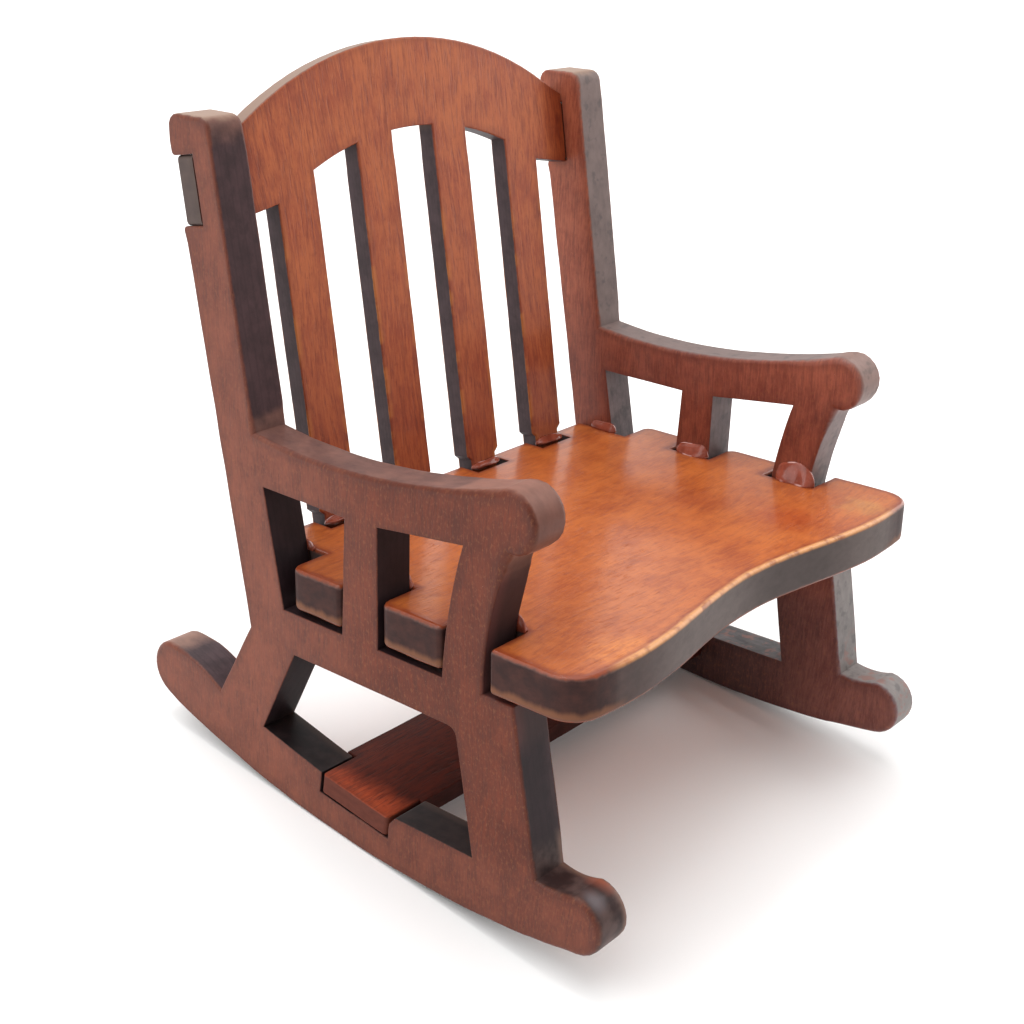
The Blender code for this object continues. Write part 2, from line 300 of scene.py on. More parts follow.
def filled(loops):
    """Triangles over the area between the outlines, with extra points a little way in.

    Returns the points as (u, v, distance from the outline, index in the joined outlines or None), and the
    triangles."""
    outline = [tuple(p) for loop in loops for p in loop]
    edges, start = [], 0
    for loop in loops:
        edges += [(start + i, start + (i + 1) % len(loop)) for i in range(len(loop))]
        start += len(loop)
    corners = [Vector(p) for p in outline + halo_points(loops)]
    spots, _, triangles, origins = geometry.delaunay_2d_cdt(corners, edges, [], 0, 1e-6, True)[:4]
    points = []
    for spot, distance, origin in zip(spots, to_outline(spots, loops), origins):
        first = min(origin) if origin else len(outline)
        points.append((spot.x, spot.y, distance, first if first < len(outline) else None))
    starts, ends = stretches(loops)
    middles = [sum((spots[k] for k in triangle), Vector((0, 0))) / 3 for triangle in triangles]
    return points, [t for t, middle in zip(triangles, middles) if inside_outline(*middle, starts, ends)]


class SandedPlate:
    """The mesh of one plate, built in the plate's own mm.

    Its attributes are "plate", those mm themselves, and "edge": how far in from the rim a point of the face
    is, and how strongly the nearest edge is sanded."""

    def __init__(self, node, sanding, half):
        self.node, self.sanding, self.half = node, sanding, half
        self.placed = PLACES[node]
        self.turned = self.placed.to_3x3()
        self.flipped = self.turned.determinant() < 0
        quarter = [math.pi / 2 * k / ROUND_STEPS for k in range(ROUND_STEPS + 1)]
        self.profile = [(angle, 1) for angle in quarter] + [(angle, -1) for angle in reversed(quarter)]
        self.spots, self.edge_data, self.faces, self.normals = [], [], [], []

    def face(self, corners, shading):
        order = range(len(corners))
        order = list(reversed(order)) if self.flipped else list(order)
        self.faces.append([corners[i] for i in order])
        self.normals.extend(LEAN @ (self.turned @ shading[i]) for i in order)

    def rim(self, points):
        """The cut edge along one outline, rounded off. Returns its first and last ring of points."""
        joins = outward_normals(points)
        start, count = len(self.spots), len(points)
        for angle, sign in self.profile:
            for p, (inset, _, _) in zip(points, joins):
                where = Vector((p.x * UNEVEN_WAVES, p.y * UNEVEN_WAVES, sign + self.half))
                width = self.sanding(p.x, p.y) * (1.0 + UNEVEN * noise.noise(where))
                q = p - inset * (width * (1.0 - math.sin(angle)))
                self.spots.append(Vector((q.x, q.y, sign * (self.half - width * (1.0 - math.cos(angle))))))
                self.edge_data.append((0.0, self.sanding(p.x, p.y), 0.0))
        for ring in range(len(self.profile) - 1):
            for i in range(count):
                self.rim_face(start + ring * count, ring, i, (i + 1) % count, joins)
        last = start + (len(self.profile) - 1) * count
        return list(range(start, start + count)), list(range(last, last + count))

    def rim_face(self, low, ring, i, j, joins):
        """One face between two rings, from the outline's point i to the next, j."""
        high = low + len(joins)
        shading = []
        for which, at in ((0, i), (1, i), (1, j), (0, j)):
            angle, sign = self.profile[ring + which]
            side = joins[at][2] if at == i else joins[at][1]
            shading.append(Vector((*(side * math.sin(angle)), sign * math.cos(angle))))
        self.face([low + i, high + i, high + j, low + j], shading)

    def cap(self, rings, sign):
        """The flat face within these rings, on the outward side (sign 1) or the other."""
        corners = [index for ring in rings for index in ring]
        points, triangles = filled([[tuple(self.spots[i].xy) for i in ring] for ring in rings])
        indices = []
        for u, v, distance, corner in points:
            indices.append(corners[corner] if corner is not None else len(self.spots))
            if corner is None:
                self.spots.append(Vector((u, v, sign * self.half)))
                self.edge_data.append((distance, self.sanding(u, v), 0.0))
        for triangle in triangles:
            a, b, c = (Vector(points[k][:2]) for k in triangle)
            turn = 1 if (b - a).cross(c - a) * sign > 0 else -1
            self.face([indices[k] for k in triangle[::turn]], [Vector((0, 0, sign))] * 3)

    def build(self):
        to_plate = self.placed.inverted()
        outlines = [stepped(snug(self.node, loop)) for loop in rim_loops(self.node, to_plate, self.half)]
        rings = [self.rim(points) for points in outlines]
        self.cap([first for first, _ in rings], 1)
        self.cap([last for _, last in rings], -1)
        mesh = bpy.data.meshes.new(self.node + "_wood")
        mesh.from_pydata([from_level(self.placed @ spot) for spot in self.spots], [], self.faces)
        mesh.polygons.foreach_set("use_smooth", [True] * len(mesh.polygons))
        mesh.normals_split_custom_set([normal.normalized() for normal in self.normals])
        for name, values in (("plate", self.spots), ("edge", self.edge_data)):
            where = mesh.attributes.new(name, "FLOAT_VECTOR", "POINT")
            where.data.foreach_set("vector", [number for value in values for number in value])
        return mesh


def sanded_plate(node, sanding, half, look):
    shown(node + "_wood", SandedPlate(node, sanding, half).build(), look, node)


def shown(name, mesh, look, node):
    """Makes the mesh a piece that rides with the chair and stands for this node."""
    mesh.materials.append(look)
    piece = bpy.data.objects.new(name, mesh)
    bpy.context.scene.collection.objects.link(piece)
    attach(piece, "root")
    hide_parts(node)


# ---- shader nodes ----

class Nodes:
    """A short way to write a shader's nodes."""

    def __init__(self, name):
        self.material = bpy.data.materials.new(name)
        self.material.use_nodes = True
        self.tree = self.material.node_tree
        self.shader = self.tree.nodes["Principled BSDF"]

    def make(self, kind, **settings):
        node = self.tree.nodes.new("ShaderNode" + kind)
        for key, value in settings.items():
            setattr(node, key, value)
        return node

    def put(self, socket, value):
        if isinstance(value, bpy.types.NodeSocket):
            self.tree.links.new(value, socket)
        else:
            socket.default_value = value

    def set(self, **values):
        """Sets the shader's own sockets: Base_Color stands for Base Color."""
        for name, value in values.items():
            self.put(self.shader.inputs[name.replace("_", " ")], value)

    def math(self, operation, *values):
        node = self.make("Math", operation=operation)
        for socket, value in zip(node.inputs, values):
            self.put(socket, value)
        return node.outputs[0]

    def ramp(self, value, low, high, out_low=0.0, out_high=1.0):
        """A smooth step of the value from low to high."""
        node = self.make("MapRange", interpolation_type="SMOOTHSTEP")
        for socket, v in zip(node.inputs, (value, low, high, out_low, out_high)):
            self.put(socket, v)
        return node.outputs[0]

    def mix(self, share, a, b, blend="MIX"):
        node = self.make("Mix", data_type="RGBA", blend_type=blend)
        self.put(node.inputs["Factor"], share)
        self.put(node.inputs[6], a if not isinstance(a, tuple) else (*a, 1.0))
        self.put(node.inputs[7], b if not isinstance(b, tuple) else (*b, 1.0))
        return node.outputs[2]

    def blend(self, share, a, b):
        """The same for two numbers."""
        node = self.make("Mix", data_type="FLOAT")
        for at, value in zip((0, 2, 3), (share, a, b)):
            self.put(node.inputs[at], value)
        return node.outputs[0]

    def attribute(self, name, output="Vector"):
        return self.make("Attribute", attribute_name=name).outputs[output]

    def scaled(self, vector, factors, offset=(0.0, 0.0, 0.0)):
        node = self.make("VectorMath", operation="MULTIPLY_ADD")
        self.put(node.inputs[0], vector)
        node.inputs[1].default_value = factors
        node.inputs[2].default_value = offset
        return node.outputs[0]

    def split(self, vector):
        node = self.make("SeparateXYZ")
        self.put(node.inputs[0], vector)
        return node.outputs[:3]

    def texture(self, vector, factors, offset=(0.0, 0.0, 0.0), detail=2.0, rough=0.5):
        """Noise from 0 to 1, with this many waves per unit along each axis."""
        node = self.make("TexNoise")
        self.put(node.inputs["Vector"], self.scaled(vector, factors, offset))
        for key, value in (("Scale", 1.0), ("Detail", detail), ("Roughness", rough)):
            self.put(node.inputs[key], value)
        return node.outputs[0]

    def swing(self, texture, reach):
        """Noise turned into a value from -reach to reach."""
        return self.math("MULTIPLY_ADD", texture, 2 * reach, -reach)

    def specks(self, vector, size, share):
        """1 at scattered small dots, in about that share of the cells."""
        cells = self.make("TexVoronoi", feature="F1")
        self.put(cells.inputs["Vector"], vector)
        chance = self.split(cells.outputs["Color"])[0]
        dot = self.math("LESS_THAN", cells.outputs["Distance"], size)
        return self.math("MULTIPLY", dot, self.math("LESS_THAN", chance, share))

    def bump(self, height, strength, distance):
        node = self.make("Bump")
        node.inputs["Strength"].default_value = strength
        node.inputs["Distance"].default_value = distance
        self.put(node.inputs["Height"], height)
        return node.outputs[0]


class WoodNodes(Nodes):
    """The nodes of a plate, with what is known of each point of its surface.

    axes are u, v and t, in mm across the grain, along it and out from the middle ply; the sizes of u and v;
    inside, how far in from the rim; and sanding. cut is 1 on the cut edge, which the sanding widens, and face
    is the rest."""

    def __init__(self, name, half):
        super().__init__(name)
        self.half = half
        self.plate = self.attribute("plate")
        u, v, t = self.split(self.plate)
        inside, sanding, _ = self.split(self.attribute("edge"))
        self.axes = {"u": u, "v": v, "t": t, "inside": inside, "sanding": sanding,
                     "|u|": self.math("ABSOLUTE", u), "|v|": self.math("ABSOLUTE", v)}
        depth = self.math("SUBTRACT", half, self.math("ABSOLUTE", t))
        ragged = self.swing(self.texture(self.plate, (2.2, 2.2, 2.2), detail=3.0), 0.5)
        ragged = self.math("MULTIPLY_ADD", self.times(ragged, sanding), 0.9, depth)
        all_cut, all_face = self.times(sanding, 0.12), self.math("MULTIPLY_ADD", sanding, 1.15, 0.02)
        self.cut = self.ramp(ragged, all_cut, all_face)
        self.face = self.math("SUBTRACT", 1.0, self.cut)

    def times(self, *parts):
        """The product of the parts, of which one like ("u", low, high) is a smooth step along that axis."""
        product = None
        for part in parts:
            value = self.ramp(self.axes[part[0]], *part[1:]) if isinstance(part, tuple) else part
            product = value if product is None else self.math("MULTIPLY", product, value)
        return product

    def tint(self, colour, factors, *parts):
        """The colour multiplied by these factors, as far as the product of the parts says."""
        return self.mix(self.times(*parts), colour, factors, "MULTIPLY")

    def paint(self, colour, other, *parts):
        """The other colour laid over the first, as far as the product of the parts says."""
        return self.mix(self.times(*parts), colour, other)

    def away(self, centre, factors):
        """The distance from a point of the plate, measured with these weights of its axes."""
        node = self.make("VectorMath", operation="DISTANCE")
        self.put(node.inputs[0], self.scaled(self.plate, factors))
        node.inputs[1].default_value = [c * k for c, k in zip(centre, factors)]
        return node.outputs["Value"]


# ---- wood ----

RELIEF_STRENGTH = 0.5
RELIEF_DEPTH = 0.025 * MM
LACQUER_ROUGHNESS = 0.17


def shade(factor, colour):
    return tuple(factor * c for c in colour)


def grained(n, seed, stain, fibre, dark, grain):
    """The face's colour, fine streaks and relief: long fibres and dark pores over clouds in the stain."""
    bend = n.make("CombineXYZ")
    n.put(bend.inputs[0], n.swing(n.texture(n.plate, (0.12, 0.05, 0.1), (seed, 3.1, 0.7), detail=1.0), 1.75))
    added = n.make("VectorMath", operation="ADD")
    n.put(added.inputs[0], n.plate)
    n.put(added.inputs[1], bend.outputs[0])
    bent = added.outputs[0]
    fibres = n.texture(bent, (2.6, 0.30, 1.0), (seed, 0, 0), detail=4.0, rough=0.6)
    fine = n.texture(bent, (6.5, 0.60, 2.0), (0, seed, 0), detail=3.0, rough=0.7)
    pores = n.ramp(n.texture(bent, (11.0, 0.65, 2.0), (seed, seed, 4.0), detail=1.0), 0.58, 0.74)
    clouds = n.texture(n.plate, (0.42, 0.34, 0.4), (seed, 1.7, 0.0), detail=4.0, rough=0.62)
    flecks = n.texture(n.plate, (3.4, 2.2, 3.0), (2.0, seed, 0.0), detail=3.0, rough=0.7)

    colour = n.mix(n.ramp(clouds, 0.28, 0.72), stain, fibre)
    colour = n.paint(colour, dark, n.ramp(fibres, 0.52, 0.30), 0.55 * grain)
    colour = n.paint(colour, shade(1.12, fibre), n.ramp(fine, 0.48, 0.64), 0.70 * grain)
    colour = n.paint(colour, dark, n.ramp(fine, 0.47, 0.33), 0.50 * grain)
    colour = n.paint(colour, dark, pores, 0.55 * grain)
    colour = n.paint(colour, fibre, n.ramp(flecks, 0.56, 0.74, 0.0, 0.50))
    colour = n.paint(colour, dark, n.ramp(flecks, 0.44, 0.30, 0.0, 0.30))
    return colour, fine, n.math("MULTIPLY_ADD", pores, -0.5, n.times(fibres, 0.7))


def burnt_cut(n, seed, burnt, sanded, wear):
    """The cut edge's colour and streaks: soft blotches and faint ply lines, and brown where it's sanded."""
    streaks = n.texture(n.plate, (1.0, 1.0, 1.9), (seed, 0, 0), detail=5.0, rough=0.60)
    blotches = n.texture(n.plate, (0.6, 0.6, 0.7), (seed, 9.0, 0), detail=4.0, rough=0.6)
    colour = n.mix(n.ramp(streaks, 0.35, 0.70), shade(0.85, burnt), shade(1.18, burnt))
    colour = n.paint(colour, shade(1.7, burnt), n.ramp(blotches, 0.40, 0.66, 0.0, 0.5))
    ply = n.math("PINGPONG", n.math("ADD", n.axes["t"], n.half), n.half / 5)
    colour = n.paint(colour, shade(0.5, burnt), n.ramp(ply, n.half * 0.08, n.half * 0.01, 0.0, 0.22))
    rub = n.math("ADD", n.axes["sanding"], n.swing(blotches, 0.08))
    brown = n.mix(n.ramp(streaks, 0.3, 0.7), shade(0.85, sanded), sanded)
    return n.paint(colour, brown, n.ramp(rub, *wear)), streaks


def wood(name, half, seed, places, stain, fibre, dark, burnt, sanded, wear, grain, scorch, rough, lacquer,
         shine):
    """Stained plywood with a lacquered face and a burnt cut edge.

    places(n, colour) adds what only this plate has and returns the colour. stain, fibre and dark are the
    face's colours. burnt and sanded are the cut's, and wear is the range of sanding over which it goes from
    one to the other. grain is the strength of the long streaks, and scorch that of the darkening along the
    rim. rough is the roughness of the face and of the cut, lacquer the weight of the face's coat, and shine
    the cut's specular level."""
    n = WoodNodes(name, half)
    face, fine, face_relief = grained(n, seed, stain, fibre, dark, grain)
    cut, streaks = burnt_cut(n, seed, burnt, sanded, wear)

    # The stain soaks in and the laser scorches a little way in from the rim
    waver = n.swing(n.texture(n.plate, (1.3, 1.3, 1.3), (seed, 0, 5.0)), 0.25)
    halo = n.ramp(n.math("ADD", n.axes["inside"], waver), 0.60, -0.05, 0.0, scorch)
    face = n.paint(face, dark, halo)

    relief = n.math("MULTIPLY_ADD", n.times(streaks, n.cut), 0.9, n.times(face_relief, n.face))
    normal = n.bump(relief, RELIEF_STRENGTH, RELIEF_DEPTH)
    n.set(
        Base_Color=places(n, n.mix(n.cut, face, cut)),
        Roughness=n.blend(n.cut, n.math("ADD", n.swing(fine, 0.125), rough[0]), rough[1]),
        Specular_IOR_Level=n.blend(n.cut, shine + 0.02, shine),
        Coat_Weight=n.blend(n.cut, lacquer, 0.0),
        Coat_Roughness=LACQUER_ROUGHNESS,
        Normal=normal,
        Coat_Normal=normal,
    )
    return n.material


def frame_places(n, colour):
    """Golden flecks and pale dust in the stain, and almost bare wood on top of the post's head."""
    gold = n.texture(n.plate, (5.0, 2.8, 4.0), (4.0, 4.0, 4.0), detail=3.0, rough=0.65)
    colour = n.paint(colour, (0.34, 0.125, 0.045), n.ramp(gold, 0.50, 0.72), n.face, 0.20)
    dust = n.specks(n.scaled(n.plate, (0.50, 0.50, 0.50)), 0.035, 0.30)
    colour = n.paint(colour, (0.42, 0.27, 0.21), dust, n.face, 0.6)
    wobble = n.swing(n.texture(n.plate, (0.9, 0.9, 0.9), (1.0, 0, 0)), 0.4)
    head = n.ramp(n.math("ADD", n.axes["v"], wobble), 28.10, 28.55)
    return n.paint(colour, (0.310, 0.200, 0.145), head, n.ramp(n.cut, 0.1, 0.6), 0.9)


# Patches on the near rocker's front tip: rubbed wear, and in the second row a painted highlight. Each:
# centre, reach and colour, with the weights of u, v and t
TIP_WEIGHTS = (0.8, 0.6, 1.2)
TIP_PATCHES = (((-29.4, -14.6, -1.15), 1.3, (0.32, 0.090, 0.052)),
               ((-30.3, -14.7, 0.55), 1.1, (0.150, 0.122, 0.130)),
               ((-30.4, -18.0, 0.30), 1.5, (0.225, 0.140, 0.128)))


def near_places(n, colour):
    """The near frame: redder towards the front, with cut edges that differ from place to place."""
    # The face, redder and deeper towards the front
    colour = n.tint(colour, (0.66, 0.43, 0.27), n.face, ("u", -3.0, -15.0, 0.0, 0.95),
                    ("v", -17.0, -12.5, 0.35, 1.0))
    # The cut: lighter above the arm, darker in the middle plies of the legs, and lighter on the rear leg
    colour = n.tint(colour, (1.34, 1.28, 1.26), n.cut, ("v", 4.0, 7.0))
    colour = n.tint(colour, (0.56, 0.50, 0.56), n.cut, ("t", -1.30, -0.50), ("t", 1.60, 1.00, 0.5, 1.0),
                    ("v", -5.0, -7.0), ("u", -2.0, -6.0))
    colour = n.tint(colour, (1.55, 1.80, 1.80), n.cut, ("v", -4.0, -7.0), ("u", -2.0, 2.0))
    # The cut at the front: darker low on the arm's knob and sooty below it, with a paler outer edge there
    colour = n.tint(colour, (0.64, 0.52, 0.48), n.cut, ("v", 10.2, 8.6), ("u", -24.6, -25.4), ("v", 4.0, 6.0))
    colour = n.paint(colour, (0.038, 0.018, 0.017), n.cut, ("v", 6.6, 5.2), ("v", -7.0, -5.0),
                     ("u", -16.0, -18.0, 0.0, 0.7))
    colour = n.tint(colour, (1.90, 1.45, 1.35), n.cut, ("t", 0.2, 1.3), ("u", -17.0, -18.5),
                    ("v", -7.0, -5.0), ("v", 6.0, 4.0))
    # The rocker's tips: blotched, paler along the inner edge and at the rear
    uneven = n.texture(n.plate, (0.9, 0.9, 0.9), (3.0, 0, 0), detail=3.0)
    tips = n.mix(n.ramp(uneven, 0.35, 0.70), (0.020, 0.011, 0.011), (0.085, 0.052, 0.047))
    tips = n.paint(tips, (0.240, 0.140, 0.108), ("t", -0.70, -1.30, 0.0, 0.8))
    tips = n.tint(tips, (1.35, 1.65, 1.65), ("u", -3.0, 1.0))
    colour = n.paint(colour, tips, n.cut, ("v", -12.0, -13.5, 0.0, 0.85))
    # Soot in the windows and the notches, which nobody sanded
    colour = n.paint(colour, (0.004, 0.002, 0.003), n.cut, ("sanding", 0.16, 0.10),
                     ("v", -9.0, -14.0, 0.55, 0.80))
    # Rubbed wear on the front tip, and the second patch a painted highlight
    for centre, reach, rubbed_and_highlight in TIP_PATCHES:
        away = n.math("ADD", n.away(centre, TIP_WEIGHTS), n.swing(uneven, 0.5))
        colour = n.paint(colour, rubbed_and_highlight, n.ramp(away, reach, 0.0), n.cut, 0.8)
    return frame_places(n, colour)


def near_wood():
    return wood("side_frame_right_wood", PLY_HALF, seed=1.3, places=near_places,
                stain=(0.122, 0.031, 0.018), fibre=(0.200, 0.055, 0.030), dark=(0.072, 0.022, 0.016),
                burnt=(0.032, 0.016, 0.018), sanded=(0.180, 0.085, 0.064), wear=(0.23, 0.43),
                grain=0.62, scorch=0.35, rough=(0.55, 0.50), lacquer=0.12, shine=0.20)


def far_places(n, colour):
    """The far frame: paler up the post, with painted shade on the rocker under the seat, and greyer cut
    edges.
    """
    # The face: paler up the post, and painted shade on the rocker under the seat, deepest behind its front
    # tip
    colour = n.tint(colour, (1.55, 1.72, 1.62), n.face, ("v", 4.0, 14.0))
    rocker_shade = n.mix(n.times(("u", -28.5, -16.5)), (0.92, 1.22, 1.60), (0.30, 0.50, 0.78))
    colour = n.tint(colour, rocker_shade, n.face, ("v", -4.0, -11.0))
    # The cut: greyer below the arm, sanded pale on the arm's knob and darker on the front post below it
    cooler = n.mix(n.times(("v", -3.0, -7.0)), (1.62, 1.62, 1.66), (1.36, 1.72, 1.80))
    colour = n.tint(colour, cooler, n.cut, ("v", 8.0, 4.0))
    knob = n.mix(n.times(("v", 6.5, 9.5)), (1.38, 1.40, 1.40), (1.34, 1.16, 1.07))
    colour = n.tint(colour, knob, n.cut, ("u", -21.5, -24.0), ("v", 5.4, 6.4))
    colour = n.tint(colour, (0.80, 0.87, 0.91), n.cut, ("u", -16.5, -17.5), ("v", 6.4, 5.4), ("v", -3.0, 0.0))
    # The arm's face, a little deeper
    colour = n.tint(colour, (0.94, 0.98, 1.07), n.face, ("u", -4.0, -9.0), ("v", 3.0, 6.0))
    # Mottling all over the cut, and rust-brown spots on the rocker's tip
    mottle = n.texture(n.plate, (1.1, 1.1, 1.1), (8.0, 0, 0), rough=0.55)
    colour = n.paint(colour, (0.030, 0.030, 0.032), n.ramp(mottle, 0.46, 0.30), n.cut, 0.35)
    rust = n.ramp(mottle, 0.52, 0.66)
    colour = n.paint(colour, (0.30, 0.125, 0.095), rust, ("v", -11.0, -14.0), n.cut, 0.55)
    return frame_places(n, colour)


def far_wood():
    return wood("side_frame_left_wood", PLY_HALF, seed=4.4, places=far_places,
                stain=(0.165, 0.036, 0.021), fibre=(0.255, 0.065, 0.036), dark=(0.090, 0.022, 0.016),
                burnt=(0.066, 0.048, 0.047), sanded=(0.180, 0.126, 0.115), wear=(0.08, 0.24),
                grain=0.80, scorch=0.35, rough=(0.52, 0.50), lacquer=0.15, shine=0.20)


# Patches on the seat's face: the first two darker and redder near the far frame, painted reflection of it in
# the lacquer; the last two paler, by the front corners. Each: centre on the plate, reach and the colour it's
# multiplied by
SEAT_PATCHES = (((-24.6, 10.3, 0.0), 3.8, (0.84, 0.64, 0.56)), ((-17.9, 8.7, 0.0), 3.2, (0.87, 0.77, 0.85)),
                ((-27.6, 16.0, 0.0), 2.8, (1.02, 1.45, 1.65)), ((-28.6, -15.0, 0.0), 3.0, (1.30, 1.55, 1.15)))


def seat_places(n, colour):
    """The seat: sooty ends with bare wood low on them, painted reflection and paler patches on the face, and
    a golden line along the front, worn and partly painted highlight.
    """
    uneven = n.texture(n.plate, (1.0, 1.0, 0.0), (7.0, 0, 0), detail=3.0)
    # The cut: soot on the tabs, the wings and the near front corner, smoke along the front's middle
    ends = n.ramp(n.math("MULTIPLY_ADD", uneven, 1.6, n.axes["|v|"]), 15.9, 18.6)
    near_corner = n.times(("v", -8.0, -16.0, 0.0, 0.6), ("u", -22.0, -24.0))
    soot = n.texture(n.plate, (0.9, 0.9, 1.2), (5.0, 0, 0), detail=4.0, rough=0.6)
    soot = n.mix(n.ramp(soot, 0.30, 0.75), (0.022, 0.006, 0.0055), (0.052, 0.015, 0.011))
    colour = n.paint(colour, soot, n.math("MAXIMUM", ends, near_corner), n.cut, 0.9)
    off_middle = n.math("ABSOLUTE", n.math("SUBTRACT", n.axes["v"], 5.0))
    colour = n.paint(colour, (0.030, 0.021, 0.020), n.ramp(off_middle, 8.0, 2.0, 0.0, 0.5), n.cut,
                     ("u", -22.0, -24.0))
    low = n.ramp(n.math("ADD", n.axes["t"], n.swing(uneven, 0.4)), -0.65, -1.15)
    colour = n.paint(colour, (0.215, 0.088, 0.045), low, n.cut, ends, 0.72)
    # The face: painted reflection of the far frame, and paler patches by the front corners
    for centre, reach, factors in SEAT_PATCHES:
        away = n.math("MULTIPLY_ADD", uneven, 3.0, n.away(centre, (1.0, 1.0, 0.0)))
        colour = n.tint(colour, factors, n.ramp(away, reach + 1.5, 1.8), n.face)
    # The golden line along the front top edge: worn, and partly a painted highlight on the rounding
    by_rim = n.ramp(n.math("MULTIPLY_ADD", uneven, 0.25, n.axes["inside"]), 0.36, 0.10)
    broken = n.ramp(uneven, 0.28, 0.62, 0.25, 1.0)
    return n.paint(colour, (0.78, 0.38, 0.14), ("t", 1.20, 1.42), by_rim, broken, ("u", -24.5, -26.0),
                   ("|v|", 18.0, 15.0), 0.80)


def seat_wood():
    return wood("seat_wood", PLY_HALF, seed=5.7, places=seat_places,
                stain=(0.355, 0.074, 0.014), fibre=(0.490, 0.128, 0.026), dark=(0.20, 0.032, 0.010),
                burnt=(0.080, 0.058, 0.054), sanded=(0.130, 0.100, 0.092), wear=(0.14, 0.30),
                grain=0.60, scorch=0.85, rough=(0.45, 0.50), lacquer=0.52, shine=0.12)


def back_places(n, colour):
    """The back: deeper by the ears and down the slats, with golden edges, worn and partly painted highlight,
    and pale along the arch's top edge, rubbed and partly painted highlight.
    """
    slats = n.times(("v", 14.0, 2.0, 0.0, 0.55), ("u", -9.0, 9.0, 1.0, 0.55))
    by_ears = n.times(("|u|", 14.3, 16.3, 0.0, 0.9))
    colour = n.tint(colour, (0.60, 0.42, 0.36), n.math("MAXIMUM", slats, by_ears), n.face)
    # Gold where face and cut meet, worn and partly painted highlight, and a golden glow on the face beside it
    patchy = n.ramp(n.texture(n.plate, (0.5, 0.5, 0.5), (6.0, 0, 0), detail=3.0), 0.42, 0.60)
    corner = n.times(n.ramp(n.cut, 0.02, 0.30), n.ramp(n.cut, 0.98, 0.60))
    colour = n.paint(colour, (0.46, 0.18, 0.045), corner, patchy, ("v", 21.0, 15.0), 0.6)
    colour = n.paint(colour, (0.58, 0.20, 0.045), ("inside", 0.42, 0.0), n.face, patchy,
                     ("v", 22.0, 18.0, 0.0, 0.45))
    # The ears: dark where the notch shades them, and scorched at their ends
    colour = n.paint(colour, (0.030, 0.013, 0.010), ("|u|", 16.95, 17.05), ("t", 0.2, 0.5), 0.9)
    end_grain = n.texture(n.plate, (1.2, 1.2, 1.2), detail=3.0)
    end_grain = n.mix(end_grain, (0.050, 0.035, 0.032), (0.115, 0.080, 0.066))
    colour = n.paint(colour, end_grain, ("|u|", 19.6, 19.9, 0.0, 0.8), n.cut)
    # The arch's top edge: pale where it is rubbed, and partly a painted highlight where it faces the light
    # from above
    return n.paint(colour, (0.29, 0.185, 0.135), ("v", 25.5, 27.5), ("|u|", 16.3, 15.8), n.cut, 0.85)


def back_wood():
    return wood("back_wood", THIN_HALF, seed=8.2, places=back_places,
                stain=(0.31, 0.064, 0.025), fibre=(0.43, 0.113, 0.037), dark=(0.17, 0.031, 0.015),
                burnt=(0.046, 0.028, 0.031), sanded=(0.075, 0.050, 0.046), wear=(0.14, 0.30),
                grain=0.85, scorch=0.30, rough=(0.50, 0.52), lacquer=0.20, shine=0.20)


def stretcher_places(n, colour):
    """The stretcher: bright on the ends that the frames' notches covered, with painted shade between the
    frames, under the seat.
    """
    end_grain = n.texture(n.plate, (1.5, 1.5, 3.0), detail=3.0)
    end_grain = n.mix(end_grain, (0.07, 0.020, 0.014), (0.15, 0.043, 0.028))
    colour = n.paint(colour, end_grain, ("|v|", 19.7, 19.95), n.cut)
    # Painted shade under the seat, from the frames' inner faces inwards, deeper towards the front
    wobble = n.swing(n.texture(n.plate, (1.8, 0.4, 1.0)), 0.8)
    slanted = n.math("MULTIPLY_ADD", n.axes["u"], -0.11, n.math("ADD", n.axes["|v|"], wobble))
    painted_shade = n.mix(n.times(("u", -2.5, 2.5)), (0.21, 0.155, 0.17), (0.34, 0.29, 0.32))
    return n.tint(colour, painted_shade, n.ramp(slanted, 19.3, 17.2))


def stretcher_wood():
    return wood("stretcher_wood", THIN_HALF, seed=2.9, places=stretcher_places,
                stain=(0.26, 0.036, 0.012), fibre=(0.36, 0.062, 0.021), dark=(0.08, 0.018, 0.010),
                burnt=(0.16, 0.045, 0.028), sanded=(0.12, 0.04, 0.03), wear=(0.14, 0.30),
                grain=1.0, scorch=0.4, rough=(0.5, 0.55), lacquer=0.06, shine=0.09)


# ---- glue ----

# Along the frames' posts: the middle's y, then half the length, the reach over the seat and the height
POST_GLUE = {"rear_post": (-2.5, 1.25, 0.70, 0.70), "spindle": (-11.5, 1.50, 0.80, 1.25),
             "front_post": (-21.0, 1.70, 0.90, 1.45)}
SLAT_X = {"inner_slat": 3.85, "outer_slat": 11.65}
SLAT_GLUE = (1.55, 0.62, 0.40)
SLAT_GLUE_Y = BACK_FOOT_Y - 0.03
FILLET_STEPS = 40
FILLET_TURNS = 16
RIM_TURNS = 2
THICKEST = 0.17
SUNK = 0.06


